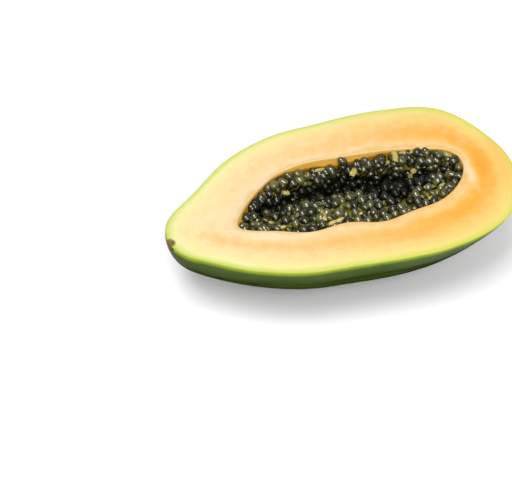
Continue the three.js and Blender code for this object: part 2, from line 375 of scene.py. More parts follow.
class PapayaStageSettings(PropertyGroup):
    camera_distance: length_property("Camera distance", "From the middle of the cut face", 1.150)
    camera_azimuth: angle_property("Camera azimuth", "0 looks along +Y", -14.16)
    camera_elevation: angle_property("Camera elevation", "Above the horizon", 52.55)
    focal_length: number_property("Focal length", "In millimetres", 126.6)
    camera_pan: angle_property("Camera pan", "Turned left of the cut face", 2.69)
    camera_tilt: angle_property("Camera tilt", "Turned up from the cut face", -1.54)
    room_light: number_property("Room light", "Strength of the light from all round", 0.47)
    floor_size: length_property("Floor", "Side of the floor", 6.0)
    floor: colour_property("Floor colour", "Plain pale floor", "#fafafa")


def patches_at(patches, x, y):
    """Sum of soft patches at places in metres"""
    total = np.zeros(np.shape(x))
    for middle_x, middle_y, length, width, turn, amount in patches:
        away_x, away_y = x / MM - middle_x, y / MM - middle_y
        cos, sin = math.cos(math.radians(turn)), math.sin(math.radians(turn))
        along = (away_x * cos + away_y * sin) / (length / 2)
        aside = (away_y * cos - away_x * sin) / (width / 2)
        total += amount * np.exp(-(along**2) - aside**2)
    return total


def smoothstep(low, high, value):
    """Rise from 0 at one value to 1 at another, soft at both ends"""
    share = np.clip((value - low) / (high - low), 0, 1)
    return share * share * (3 - 2 * share)


def profile(values, share):
    """Smooth curve in metres through one value in millimetres for each station"""
    stations = np.array(STATIONS, float)
    values = np.array(values, float) * MM
    before = np.maximum(np.arange(len(stations)) - 1, 0)
    after = np.minimum(np.arange(len(stations)) + 1, len(stations) - 1)
    slopes = (values[after] - values[before]) / (stations[after] - stations[before])
    i = np.clip(np.searchsorted(stations, share) - 1, 0, len(stations) - 2)
    span = stations[i + 1] - stations[i]
    t = (share - stations[i]) / span
    rise = t * t * (3 - 2 * t)
    leave = t * (1 - t) ** 2 * span
    arrive = t * t * (t - 1) * span
    return values[i] * (1 - rise) + values[i + 1] * rise + slopes[i] * leave + slopes[i + 1] * arrive


def draw(index, purpose):
    """Repeatable draw from 0 to 1 for a number and a purpose"""
    value = math.sin(index * 12.9898 + purpose * 78.233) * 43758.5453
    return value - math.floor(value)


def directions(azimuth, latitude):
    """Unit vectors, with azimuth 0 along +X and latitude counted from the level"""
    flat = np.cos(latitude)
    return np.stack([flat * np.cos(azimuth), flat * np.sin(azimuth), np.sin(latitude)], axis=-1)


def skin_points(fruit, direction):
    """Points of the whole fruit's skin in directions out from its core"""
    x, y, z = np.moveaxis(direction, -1, 0)
    share = (1 + x) / 2
    around = np.hypot(y, z)
    sideways = (y / np.maximum(around, 1e-9)) ** 2
    flank = np.where(y > 0, profile(BACK_FULLNESS, share), profile(FRONT_FULLNESS, share))
    fullness = flank * sideways + profile(KEEL_FULLNESS, share) * (1 - sideways)
    lobe = 1 - fruit.lobe_relief * around**2 * np.sin(LOBES * np.arctan2(z, y))
    across = y * fullness * lobe - fruit.side_bend * x**2
    rise = fruit.core_rise + fruit.core_tilt * np.sin(math.pi / 2 * x)
    height = z * fullness * lobe + rise + CUT_HEIGHT
    from_nub = np.hypot(across - NUB[1], height - NUB[2]) / fruit.nub_radius
    nub = np.where(x < 0, fruit.nub_height * np.exp(-(from_nub**2)), 0)
    return np.stack([x * fruit.length / 2 - nub, across, height], axis=-1)


def hollow_fullness(fruit, share, side):
    """How full the hollow is, where side is 1 at its back edge and -1 at its front edge"""
    x = fruit.hollow_start + share * (fruit.hollow_end - fruit.hollow_start)
    wave = np.cos(2 * math.pi * (x - fruit.wave_crest) / fruit.wave_length)
    bulge = fruit.hollow_wave * wave * np.maximum(-np.asarray(side), 0)
    return profile(HOLLOW_FULLNESS, share) * (1 + bulge)


def hollow_half_width(fruit, share, side, depth):
    """Half-width of the hollow at its edge, or further down its wall"""
    oval = np.sqrt(4 * share * (1 - share))
    sunk = np.minimum(depth / (oval * profile(HOLLOW_FULLNESS, share) * fruit.hollow_depth), 1)
    return oval * hollow_fullness(fruit, share, side) * np.sqrt(1 - sunk**2)


def hollow_points(fruit, direction):
    """Points of the hollow's wall in directions out from its middle"""
    x, y, z = np.moveaxis(direction, -1, 0)
    share = (1 + x) / 2
    side = y / np.maximum(np.hypot(y, z), 1e-9)
    middle = (fruit.hollow_start + fruit.hollow_end) / 2
    half_length = (fruit.hollow_end - fruit.hollow_start) / 2
    return np.stack(
        [
            middle + x * half_length,
            profile(HOLLOW_MIDDLE, share) + y * hollow_fullness(fruit, share, side),
            CUT_HEIGHT + z * profile(HOLLOW_FULLNESS, share) * fruit.hollow_depth,
        ],
        axis=-1,
    )


def latitude_at_height(fruit, points_of, azimuth, height):
    """Latitude at which a surface crosses a height, for each azimuth, found by halving"""
    low = np.full(azimuth.shape, -1.4)
    high = np.full(azimuth.shape, 1.4)
    for _ in range(40):
        middle = (low + high) / 2
        above = points_of(fruit, directions(azimuth, middle))[..., 2] > height
        high = np.where(above, middle, high)
        low = np.where(above, low, middle)
    return (low + high) / 2


def rounding(distance, radius):
    """Drop of a surface near an edge of that rounding"""
    inside = np.clip(radius - distance, 0, radius)
    return radius - np.sqrt(radius**2 - inside**2)


def in_dimple(fruit, points):
    """Skin points let in round the stem scar"""
    away = np.linalg.norm(points - np.array(STEM_SCAR), axis=-1)
    sink = fruit.dimple_depth * (1 - smoothstep(*DIMPLE_SIDE, away / fruit.dimple_radius))
    sink -= fruit.scar_height * (1 - smoothstep(*SCAR_SIDE, away / fruit.scar_radius))
    facing = np.array((math.cos(fruit.scar_tilt), 0, -math.sin(fruit.scar_tilt)))
    return points - sink[..., None] * facing


def clear_selection():
    if bpy.context.object and bpy.context.object.mode != "OBJECT":
        bpy.ops.object.mode_set(mode="OBJECT")
    bpy.ops.object.select_all(action="DESELECT")


def make_active(piece):
    clear_selection()
    piece.select_set(True)
    bpy.context.view_layer.objects.active = piece


def join_pieces(pieces, name):
    """One piece made of several"""
    make_active(pieces[0])
    for piece in pieces:
        piece.select_set(True)
    bpy.ops.object.join()
    joined = bpy.context.active_object
    joined.name = name
    return joined


def new_sphere(name, columns, rings):
    """Sphere of radius 1, round the origin"""
    clear_selection()
    bpy.ops.mesh.primitive_uv_sphere_add(segments=columns, ring_count=rings, radius=1)
    piece = bpy.context.active_object
    piece.name = name
    return piece


def read_points(piece):
    points = np.empty(len(piece.data.vertices) * 3, np.float32)
    piece.data.vertices.foreach_get("co", points)
    return points.reshape(-1, 3).astype(float)


def write_points(piece, points):
    piece.data.vertices.foreach_set("co", points.astype(np.float32).ravel())
    piece.data.update()


def rings_and_azimuths(piece, rings):
    """Number of its ring, from the bottom, and azimuth of each point of a sphere"""
    sphere = read_points(piece)
    ring = np.rint((np.arcsin(np.clip(sphere[:, 2], -1, 1)) / math.pi + 0.5) * rings).astype(int)
    return ring, np.arctan2(sphere[:, 1], sphere[:, 0])


def write_attribute(piece, name, values):
    attribute = piece.data.attributes.new(name, "FLOAT", "POINT")
    attribute.data.foreach_set("value", np.asarray(values, np.float32))


def weight_group(piece, name, weights):
    """Vertex group that holds the given weights"""
    group = piece.vertex_groups.new(name=name)
    for index in np.flatnonzero(weights > 0.001):
        group.add([int(index)], float(weights[index]), "REPLACE")


def roughen(piece, group, size, strength, direction="NORMAL"):
    """Cloudy unevenness of a given grain, applied to one vertex group"""
    texture = bpy.data.textures.new(f"{group}_clouds", "CLOUDS")
    texture.noise_scale = size
    texture.noise_depth = 2
    make_active(piece)
    modifier = piece.modifiers.new(f"{group}_relief", "DISPLACE")
    modifier.texture = texture
    modifier.texture_coords = "LOCAL"
    modifier.strength = strength
    modifier.mid_level = 0.5
    modifier.direction = direction
    if group in piece.vertex_groups:
        modifier.vertex_group = group
    bpy.ops.object.modifier_apply(modifier=modifier.name)


def smooth_shading(piece):
    make_active(piece)
    bpy.ops.object.shade_smooth()


def add(tree, kind, links=None, **settings):
    """Adds a shader node; a link's value is another node or its socket, or a constant for the input"""
    node = tree.nodes.new("ShaderNode" + kind)
    for name, value in settings.items():
        if name == "stops":
            ramp = node.color_ramp
            while len(ramp.elements) < len(value):
                ramp.elements.new(1)
            for element, (position, colour) in zip(ramp.elements, value):
                element.position = position
                element.color = linear(colour) if isinstance(colour, str) else colour
        else:
            setattr(node, name, value)
    for name, value in (links or {}).items():
        if isinstance(value, bpy.types.Node):
            value = next(socket for socket in value.outputs if socket.enabled)
        if isinstance(value, bpy.types.NodeSocket):
            tree.links.new(value, node.inputs[name])
        else:
            node.inputs[name].default_value = value
    return node


def new_material(name):
    """Empty material and its node tree"""
    material = bpy.data.materials.new(name)
    material.use_nodes = True
    material.node_tree.nodes.clear()
    return material, material.node_tree


def skin_material(fruit):
    """Waxy rind: a tough green skin under a thin natural wax, which gives broad soft highlights"""
    material, tree = new_material("waxy_green_rind")
    place = add(tree, "TexCoord").outputs["Object"]
    height = add(tree, "SeparateXYZ", {0: place}).outputs["Z"]

    # Clouds 35 mm across, and streaks 6 mm wide that run the fruit's length
    clouds = add(tree, "TexNoise", {"Vector": place, "Scale": 1 / (35 * MM), "Detail": 3})
    lengthwise = add(tree, "Mapping", {0: place, "Scale": (0.12, 1, 1)})
    streaks = add(tree, "TexNoise", {"Vector": lengthwise, "Scale": 1 / (6 * MM), "Detail": 4})
    ridge = add(tree, "Attribute", attribute_name="ridge").outputs["Fac"]
    lit = add(tree, "Math", {0: streaks, 1: ridge}, operation="MULTIPLY")
    lit_share = add(tree, "MapRange", {0: lit, 1: 0.15, 2: 0.6, 4: 0.4})
    # Painted shade: the green darkens from the rim down to the keel, as the underside would be in shade
    depth = add(tree, "Math", {0: CUT_HEIGHT, 1: height}, operation="SUBTRACT")
    uneven = add(tree, "Math", {0: clouds, 1: 8 * MM, 2: -4 * MM}, operation="MULTIPLY_ADD")
    level = add(tree, "Math", {0: depth, 1: uneven}, operation="ADD")
    deep = add(tree, "MapRange", {0: level, 1: 3 * MM, 2: 15 * MM})

    # Pale pores, about 5 mm apart and 0.7 mm across
    pores = add(tree, "TexVoronoi", {"Vector": place, "Scale": 1 / (5 * MM)})
    pore_share = add(tree, "MapRange", {0: pores, 1: 0.09, 2: 0.05, 4: 0.5})

    # The cut lets light into the rind, so a lime band fades out over some 4 mm under the rim
    rim_clouds = add(tree, "TexNoise", {"Vector": place, "Scale": 1 / (8 * MM)})
    wander = add(tree, "Math", {0: rim_clouds, 1: 2 * MM, 2: -MM}, operation="MULTIPLY_ADD")
    rim_depth = add(tree, "Math", {0: depth, 1: wander}, operation="ADD")
    rim_share = add(tree, "MapRange", {0: rim_depth, 1: 4.3 * MM, 2: 0.2 * MM})

    # Dry cork on the nub and the stem scar, ragged at its edge, and darker there and in its cracks
    cork = add(tree, "Attribute", attribute_name="cork").outputs["Fac"]
    grain = add(tree, "TexNoise", {"Vector": place, "Scale": 1 / (1.2 * MM), "Detail": 4})
    ragged = add(tree, "Math", {0: cork, 1: grain}, operation="ADD")
    cork_share = add(tree, "MapRange", {0: ragged, 1: 0.85, 2: 1.15})
    crack_share = add(tree, "MapRange", {0: ragged, 1: 1.05, 2: 1.6, 3: 0.9, 4: 0.0})
    cork_colour = add(tree, "Mix", {0: crack_share, 6: fruit.cork, 7: fruit.cork_dark}, data_type="RGBA")

    layers = (
        (deep, fruit.skin_painted_shade),
        (lit_share, fruit.skin_light),
        (pore_share, fruit.skin_speck),
        (rim_share, fruit.rim_lime),
        (cork_share, cork_colour),
    )
    colour = fruit.skin_mid
    for share, over in layers:
        colour = add(tree, "Mix", {0: share, 6: colour, 7: over}, data_type="RGBA")

    wax = add(tree, "MapRange", {0: streaks, 1: 0.3, 2: 0.7, 3: 0.34, 4: 0.5})
    dry = add(tree, "MapRange", {0: cork_share, 4: 0.4})
    roughness = add(tree, "Math", {0: wax, 1: dry}, operation="ADD")
    # The wax shines less towards the keel, along with the painted shade
    shine = add(tree, "MapRange", {0: deep, 3: 0.08, 4: 0.0})
    relief = add(tree, "Math", {0: grain, 1: cork_share}, operation="MULTIPLY")
    fine = add(tree, "TexNoise", {"Vector": place, "Scale": 1 / (2.2 * MM), "Detail": 3})
    bumps = add(tree, "Math", {0: relief, 1: 3.0, 2: fine}, operation="MULTIPLY_ADD")
    bump = add(tree, "Bump", {"Height": bumps, "Strength": 0.25, "Distance": 0.3 * MM})
    shader = add(
        tree,
        "BsdfPrincipled",
        {
            "Base Color": colour,
            "Roughness": roughness,
            "Normal": bump,
            "IOR": 1.46,
            "Specular IOR Level": shine,
        },
    )
    add(tree, "OutputMaterial", {"Surface": shader})
    return material


def flesh_material(fruit):
    """Cut flesh: moist, faintly translucent, and coloured in bands from the rind to the hollow"""
    material, tree = new_material("moist_papaya_flesh")
    place = add(tree, "TexCoord").outputs["Object"]
    axes = add(tree, "SeparateXYZ", {0: place}).outputs
    share = add(tree, "Attribute", attribute_name="cut_share").outputs["Fac"]

    # The bands wander by a few hundredths of the flesh's width, in clouds 14 mm across
    clouds = add(tree, "TexNoise", {"Vector": place, "Scale": 1 / (14 * MM), "Detail": 3})
    offset = add(tree, "Math", {0: clouds, 1: 0.5}, operation="SUBTRACT")
    freedom = add(tree, "MapRange", {0: share, 1: 0.02, 2: 0.3, 4: 0.28})
    wandering = add(tree, "Math", {0: offset, 1: freedom, 2: share}, operation="MULTIPLY_ADD")
    pale = add(tree, "ValToRGB", {0: wandering}, stops=PALE_BANDS)
    ripe = add(tree, "ValToRGB", {0: wandering}, stops=RIPE_BANDS)
    # It ripens towards the stem end, and a little more at the front
    slant = add(tree, "Math", {0: axes["Y"], 1: -0.3, 2: axes["X"]}, operation="MULTIPLY_ADD")
    ripeness = add(tree, "MapRange", {0: slant, 1: -0.095, 2: 0.105}, interpolation_type="SMOOTHSTEP")

    # Soft riper and paler patches, mottled with blots 6 mm across away from the rind
    patch = add(tree, "Attribute", attribute_name="patch").outputs["Fac"]
    blots = add(tree, "TexNoise", {"Vector": place, "Scale": 1 / (6 * MM), "Detail": 1})
    blot = add(tree, "Math", {0: blots, 1: 0.5}, operation="SUBTRACT")
    inner = add(tree, "MapRange", {0: share, 1: 0.15, 2: 0.4, 4: 0.6})
    mottled = add(tree, "Math", {0: blot, 1: inner, 2: patch}, operation="MULTIPLY_ADD")
    riper = add(tree, "MapRange", {0: mottled})
    paler = add(tree, "MapRange", {0: mottled, 2: -1.0})
    colour = pale
    for amount, over in ((ripeness, ripe), (riper, fruit.flesh_ripe), (paler, fruit.flesh_pale)):
        colour = add(tree, "Mix", {0: amount, 6: colour, 7: over}, data_type="RGBA")

    # Soft fibres that follow the outline, and the flesh's own cells, drawn 1 mm across to show
    lengthwise = add(tree, "Math", {0: axes["X"], 1: 1 / (45 * MM)}, operation="MULTIPLY")
    band = add(tree, "Math", {0: share, 1: 9.0}, operation="MULTIPLY")
    fibre_place = add(tree, "CombineXYZ", {0: lengthwise, 1: band})
    fibres = add(tree, "TexNoise", {"Vector": fibre_place, "Scale": 1.6, "Detail": 5})
    cells = add(tree, "TexNoise", {"Vector": place, "Scale": 1 / (1.0 * MM), "Detail": 2})
    speckle = add(tree, "Math", {0: fibres, 1: cells}, operation="ADD")
    value = add(tree, "MapRange", {0: speckle, 1: 0.6, 2: 1.4, 3: 0.70, 4: 0.79})
    tinted = add(tree, "HueSaturation", {"Color": colour, "Value": value})
    # The dry nub browns the cut edge beside it
    cork = add(tree, "Attribute", attribute_name="cork").outputs["Fac"]
    ragged = add(tree, "Math", {0: blots, 1: 0.8, 2: cork}, operation="MULTIPLY_ADD")
    browned = add(tree, "MapRange", {0: ragged, 1: 0.95, 2: 1.35, 4: 0.95})
    tinted = add(tree, "Mix", {0: browned, 6: tinted, 7: fruit.cork_cut}, data_type="RGBA")

    bump = add(tree, "Bump", {"Height": speckle, "Strength": 0.2, "Distance": 0.15 * MM})
    shader = add(
        tree,
        "BsdfPrincipled",
        {
            "Base Color": tinted,
            "Normal": bump,
            "Roughness": 0.42,
            "IOR": 1.38,
            "Subsurface Weight": 0.3,
            "Subsurface Radius": (1.0, 0.55, 0.2),
            "Subsurface Scale": 3 * MM,
            "Coat Weight": 0.08,
            "Coat Roughness": 0.2,
        },
    )
    add(tree, "OutputMaterial", {"Surface": shader})
    return material


def wall_material(fruit):
    """Wall of the hollow: wet, fibrous and deeper in colour with depth, with painted shade just above the
    seeds
    """
    material, tree = new_material("wet_hollow_wall")
    place = add(tree, "TexCoord").outputs["Object"]
    height = add(tree, "SeparateXYZ", {0: place}).outputs["Z"]
    # Threads about 2.5 mm wide that run the hollow's length
    lengthwise = add(tree, "Mapping", {0: place, "Scale": (0.35, 1, 1)})
    threads = add(tree, "TexNoise", {"Vector": lengthwise, "Scale": 1 / (2.5 * MM), "Detail": 5})
    level = add(tree, "Math", {0: threads, 1: 5 * MM, 2: height}, operation="MULTIPLY_ADD")
    share = add(tree, "MapRange", {0: level, 1: CUT_HEIGHT + 2 * MM, 2: CUT_HEIGHT - 6 * MM})
    # Painted shade on the wall just above the seeds, broken up by the threads
    stain = add(tree, "Attribute", attribute_name="stain").outputs["Fac"]
    stained = add(tree, "Math", {0: threads, 1: stain, 2: stain}, operation="MULTIPLY_ADD")
    wall_shade_share = add(tree, "MapRange", {0: stained, 1: 0.5, 2: 1.6})
    colour = fruit.wall_edge
    for amount, over in ((share, fruit.wall_deep), (wall_shade_share, fruit.wall_painted_shade)):
        colour = add(tree, "Mix", {0: amount, 6: colour, 7: over}, data_type="RGBA")
    bump = add(tree, "Bump", {"Height": threads, "Strength": 0.5, "Distance": 0.6 * MM})
    shader = add(
        tree,
        "BsdfPrincipled",
        {
            "Base Color": colour,
            "Normal": bump,
            "Roughness": 0.35,
            "IOR": 1.38,
            "Specular IOR Level": 0.2,
            "Subsurface Weight": 0.3,
            "Subsurface Radius": (1.0, 0.5, 0.15),
            "Subsurface Scale": 4 * MM,
        },
    )
    add(tree, "OutputMaterial", {"Surface": shader})
    return material


def seed_material(seeds):
    """Fresh seeds in their jelly coats: dark, wrinkled and wet, so each catches a sharp highlight"""
    material, tree = new_material("wet_papaya_seed")
    place = add(tree, "TexCoord").outputs["Object"]
    tone = add(tree, "Attribute", attribute_name="tone").outputs["Fac"]
    shade = add(tree, "Attribute", attribute_name="shade").outputs["Fac"]
    # Cloudy patches 2.5 mm across in the jelly, more of them on some seeds than on others
    patches = add(tree, "TexNoise", {"Vector": place, "Scale": 1 / (2.5 * MM), "Detail": 3})
    cloudy = add(tree, "Math", {0: tone, 1: 0.34, 2: patches}, operation="MULTIPLY_ADD")
    # Painted shade: light hardly reaches the trough, so the seeds there are painted nearly black and given
    # no film
    mixed = add(tree, "Math", {0: shade, 1: -0.5, 2: cloudy}, operation="MULTIPLY_ADD")
    wet = add(tree, "MapRange", {0: tone, 3: 0.3, 4: 1.3})
    thin = add(tree, "MapRange", {0: shade, 3: 1.0, 4: 0.15})
    film = add(tree, "Math", {0: wet, 1: thin}, operation="MULTIPLY", use_clamp=True)
    gloss = add(tree, "MapRange", {0: shade, 3: 0.45, 4: 0.1})
    stops = (
        (0.0, seeds.seed_dark),
        (0.55, seeds.seed_dark),
        (0.74, seeds.seed_olive),
        (1.0, seeds.seed_grey),
    )
    colour = add(tree, "ValToRGB", {0: mixed}, stops=stops)
    # Wrinkles about 1 mm apart
    wrinkles = add(tree, "TexVoronoi", {"Vector": place, "Scale": 1 / (1.1 * MM)}, feature="SMOOTH_F1")
    bump = add(tree, "Bump", {"Height": wrinkles, "Strength": 0.2, "Distance": 0.4 * MM})
    # The film of juice reflects more than real juice does, so that each seed's highlight shows
    shader = add(
        tree,
        "BsdfPrincipled",
        {
            "Base Color": colour,
            "Normal": bump,
            "Roughness": 0.24,
            "IOR": 1.45,
            "Specular IOR Level": gloss,
            "Specular Tint": linear("#f6f2c8"),
            "Coat Weight": film,
            "Coat IOR": 1.8,
            "Coat Roughness": 0.12,
        },
    )
    add(tree, "OutputMaterial", {"Surface": shader})
    return material


def tissue_material(name, dark, pale, roughness):
    """Wet seed-bearing tissue: fibrous and a little translucent"""
    material, tree = new_material(name)
    place = add(tree, "TexCoord").outputs["Object"]
    share = add(tree, "Attribute", attribute_name="pale").outputs["Fac"]
    # Fibres 1.5 mm apart
    fibres = add(tree, "TexNoise", {"Vector": place, "Scale": 1 / (1.5 * MM), "Detail": 4})
    offset = add(tree, "Math", {0: fibres, 1: 1.2, 2: -0.6}, operation="MULTIPLY_ADD")
    mixed = add(tree, "Math", {0: share, 1: offset}, operation="ADD", use_clamp=True)
    # On the bed the dark colour is painted shade; on the scraps it is their stain
    colour = add(tree, "Mix", {0: mixed, 6: dark, 7: pale}, data_type="RGBA")
    bump = add(tree, "Bump", {"Height": fibres, "Strength": 0.6, "Distance": 0.4 * MM})
    # The darker tissue shines little: on the bed that darkness is painted shade, where light hardly reaches,
    # and on the scraps it is their stain
    film = add(tree, "MapRange", {0: mixed, 3: 0.02, 4: 0.5})
    shader = add(
        tree,
        "BsdfPrincipled",
        {
            "Base Color": colour,
            "Normal": bump,
            "Roughness": roughness,
            "IOR": 1.38,
            "Specular IOR Level": film,
            "Subsurface Weight": 0.2,
            "Subsurface Scale": 1.5 * MM,
            "Coat Weight": film,
            "Coat Roughness": 0.15,
        },
    )
    add(tree, "OutputMaterial", {"Surface": shader})
    return material


class PAPAYA_OT_fruit(Operator):
    """Adds the cut fruit as one closed piece: skin, cut face and the wall of the seed hollow"""

    bl_idname = "papaya.fruit"
    bl_label = "Fruit"

    def execute(self, context):
        fruit = context.scene.papaya_fruit
        seeds = context.scene.papaya_seeds
        rings = SKIN_RINGS + CUT_RINGS + WALL_RINGS
        piece = new_sphere("cut_papaya", COLUMNS, rings)
        ring, azimuth = rings_and_azimuths(piece, rings)

        rim_latitude = latitude_at_height(fruit, skin_points, azimuth, CUT_HEIGHT - fruit.rim_round)
        lip_latitude = latitude_at_height(fruit, hollow_points, azimuth, CUT_HEIGHT - fruit.lip_round)
        bottom = -math.pi / 2
        skin_share = np.clip(ring / SKIN_RINGS, 0, 1)
        skin_direction = directions(azimuth, bottom + (rim_latitude - bottom) * skin_share)
        skin = in_dimple(fruit, skin_points(fruit, skin_direction))
        skin[:, 2] = np.maximum(skin[:, 2], 0)

        wall_share = np.clip((ring - SKIN_RINGS - CUT_RINGS) / WALL_RINGS, 0, 1)
        wall_latitude = lip_latitude + (bottom - lip_latitude) * wall_share**WALL_CROWDING
        wall = hollow_points(fruit, directions(azimuth, wall_latitude))

        even = np.clip((ring - SKIN_RINGS) / CUT_RINGS, 0, 1)
        cut_share = even - CUT_CROWDING * np.sin(2 * math.pi * even) / (2 * math.pi)
        rim = in_dimple(fruit, skin_points(fruit, directions(azimuth, rim_latitude)))
        lip = hollow_points(fruit, directions(azimuth, lip_latitude))
        cut = rim + (lip - rim) * cut_share[:, None]
        width = np.linalg.norm((lip - rim)[:, :2], axis=1)
        rim_drop = rounding(width * cut_share, fruit.rim_round)
        lip_drop = rounding(width * (1 - cut_share), fruit.lip_round)
        cut[:, 2] = CUT_HEIGHT - rim_drop - lip_drop

        on_skin = ring <= SKIN_RINGS
        on_cut = (ring > SKIN_RINGS) & (ring < SKIN_RINGS + CUT_RINGS)
        points = np.where(on_skin[:, None], skin, np.where(on_cut[:, None], cut, wall))
        write_points(piece, points)

        write_attribute(piece, "cut_share", np.where(on_skin, 0, cut_share))
        write_attribute(piece, "patch", patches_at(RIPE_PATCHES, points[:, 0], points[:, 1]))
        # Painted shade on the hollow's wall, fading from the seeds' level upward
        over_seeds = points[:, 2] - CUT_HEIGHT + seed_depth(fruit, seeds, points[:, 0], points[:, 1])
        write_attribute(piece, "stain", 1 - smoothstep(*WALL_SHADE_REACH, over_seeds))
        lobe_angle = LOBES * np.arctan2(skin_direction[:, 2], skin_direction[:, 1])
        write_attribute(piece, "ridge", 0.5 - 0.5 * np.sin(lobe_angle))
        from_nub = np.linalg.norm(points - np.array(NUB), axis=1) / fruit.nub_radius
        from_scar = np.linalg.norm(points - np.array(STEM_SCAR), axis=1) / fruit.scar_radius
        bare = np.minimum(smoothstep(*NUB_CORK, from_nub), smoothstep(*SCAR_CORK, from_scar))
        write_attribute(piece, "cork", 1 - bare)

        for material in (skin_material(fruit), flesh_material(fruit), wall_material(fruit)):
            piece.data.materials.append(material)
        for face in piece.data.polygons:
            top = max(ring[v] for v in face.vertices)
            face.material_index = int(top > SKIN_RINGS) + int(top > SKIN_RINGS + CUT_RINGS)

        cut_weight = np.clip(CUT_FADE * cut_share * (1 - cut_share), 0, 1)
        weight_group(piece, "skin", np.where(on_skin, smoothstep(0, SKIN_FADE, 1 - skin_share), 0))
        weight_group(piece, "cut", np.where(on_cut, cut_weight, 0))
        weight_group(piece, "wall", smoothstep(0, WALL_FADE, wall_share))
        for group, relief in RELIEFS.items():
            roughen(piece, group, *relief)
        # The unevenness stays inside the fruit's own length and width, and above the floor
        high = (FRUIT_HIGH.x, FRUIT_HIGH.y, math.inf)
        write_points(piece, np.clip(read_points(piece), FRUIT_LOW, high))
        smooth_shading(piece)
        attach(piece, "root")
        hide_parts("papaya_half")
        return {"FINISHED"}


def hollow_share(fruit, x):
    share = (x - fruit.hollow_start) / (fruit.hollow_end - fruit.hollow_start)
    return np.clip(share, END_MARGIN, 1 - END_MARGIN)


def seed_depth(fruit, seeds, x, y):
    """Depth of the top layer of seeds below the cut face, over the hollow's plan"""
    share = hollow_share(fruit, x)
    half_width = hollow_half_width(fruit, share, 0, 0)
    across = np.clip((y - profile(HOLLOW_MIDDLE, share)) / half_width, -1, 1)
    rise = seeds.brink_level - seeds.front_level
    front = seeds.front_level + rise * smoothstep(-1, TROUGH_FRONT[0], across)
    bottom = np.maximum(front, seeds.trough_level * half_width)
    dropped = front + (bottom - front) * smoothstep(*TROUGH_FRONT, across)
    return dropped + (profile(BACK_LEVEL, share) - dropped) * smoothstep(*TROUGH_BACK, across)


def seed_slope(fruit, seeds, x, y):
    """Slope of the top layer of seeds across the hollow"""
    step = 0.5 * MM
    return abs(seed_depth(fruit, seeds, x, y + step) - seed_depth(fruit, seeds, x, y - step)) / (2 * step)


def seed_painted_shade(fruit, seeds, x, y, depth):
    """Painted shade of a seed, for how little light reaches it: 0 on the banks, 1 in the trough, and below 0
    painted light
    """
    share = hollow_share(fruit, x)
    across = (y - profile(HOLLOW_MIDDLE, share)) / hollow_half_width(fruit, share, 0, 0)
    behind = seeds.bank_reach * smoothstep(*BACK_BANK, across)
    sunk = smoothstep(seeds.brink_level + behind, seeds.shade_level + behind, depth)
    return np.clip(sunk + patches_at(SHADE_PATCHES, x, y), LEAST_SHADE, 1)


def seed_places(fruit, seeds, first, shift, slide=0):
    """Number and place of each seed of a layer, in rows from wall to wall of the hollow"""
    length = fruit.hollow_end - fruit.hollow_start - 2 * seeds.row_end_room
    rows = round(length / seeds.row_pitch)
    for row in range(rows + 1 - math.ceil(shift)):
        row_x = fruit.hollow_start + seeds.row_end_room + length * (row + shift) / rows
        row_share = hollow_share(fruit, row_x)
        row_middle = profile(HOLLOW_MIDDLE, row_share)
        back = row_middle + hollow_half_width(fruit, row_share, 1, 0)
        front = row_middle - hollow_half_width(fruit, row_share, -1, 0)
        steps = max(1, round(float(back - front - 2 * seeds.wall_room) / seeds.pitch))
        stagger = (row + slide) % 2
        for step in range(steps + 1 - stagger):
            index = first + row * ROW_NUMBERS + step
            x = row_x + seeds.jitter * (2 * draw(index, 0) - 1)
            y = front + (back - front) * (step + stagger / 2) / steps
            y += seeds.jitter * (2 * draw(index, 1) - 1)
            share = hollow_share(fruit, x)
            middle = profile(HOLLOW_MIDDLE, share)
            side = math.copysign(1, y - middle)
            wall = hollow_half_width(fruit, share, side, seed_depth(fruit, seeds, x, y))
            reach = max(wall - seeds.wall_room, 0)
            yield index, float(x), float(middle + np.clip(y - middle, -reach, reach))


class PAPAYA_OT_seed_bed(Operator):
    """Adds the wet tissue that fills the hollow under and between the seeds"""

    bl_idname = "papaya.seed_bed"
    bl_label = "Seed bed"

    def execute(self, context):
        fruit = context.scene.papaya_fruit
        seeds = context.scene.papaya_seeds
        rings = BED_WALL_RINGS + BED_TOP_RINGS
        piece = new_sphere("seed_bed", BED_COLUMNS, rings)
        ring, azimuth = rings_and_azimuths(piece, rings)

        # Its brim lies on the wall, at the level of the seeds there
        brim_latitude = np.full(azimuth.shape, -0.1)
        for _ in range(4):
            brim = hollow_points(fruit, directions(azimuth, brim_latitude))
            level = CUT_HEIGHT - seed_depth(fruit, seeds, brim[:, 0], brim[:, 1]) - seeds.bed_drop
            brim_latitude = latitude_at_height(fruit, hollow_points, azimuth, level)
        share = np.clip(ring / BED_WALL_RINGS, 0, 1)
        bottom = -math.pi / 2
        shell = hollow_points(fruit, directions(azimuth, bottom + (brim_latitude - bottom) * share))
        middle = shell[ring == 0].mean(axis=0)
        inward = np.clip((ring - BED_WALL_RINGS) / BED_TOP_RINGS, 0, 1)[:, None]
        top = brim + (middle - brim) * inward
        top[:, 2] = CUT_HEIGHT - seed_depth(fruit, seeds, top[:, 0], top[:, 1]) - seeds.bed_drop
        points = np.where((ring <= BED_WALL_RINGS)[:, None], shell, top)
        write_points(piece, middle + (points - middle) * BED_FIT)
        weight_group(piece, "bed", np.where(ring > BED_WALL_RINGS + 1, 1, 0))
        # Painted shade: the bed is painted dark in the trough, following the seeds' painted shade
        level = CUT_HEIGHT - points[:, 2] - seeds.bed_drop
        dark = seed_painted_shade(fruit, seeds, points[:, 0], points[:, 1], level)
        write_attribute(piece, "pale", BED_PALE - BED_CONTRAST * dark)
        roughen(piece, "bed", *BED_LUMPS)
        tissue = tissue_material("wet_tissue_with_painted_shade", seeds.bed_painted_shade, seeds.bed_olive, 0.4)
        piece.data.materials.append(tissue)
        smooth_shading(piece)
        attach(piece, "root")
        return {"FINISHED"}


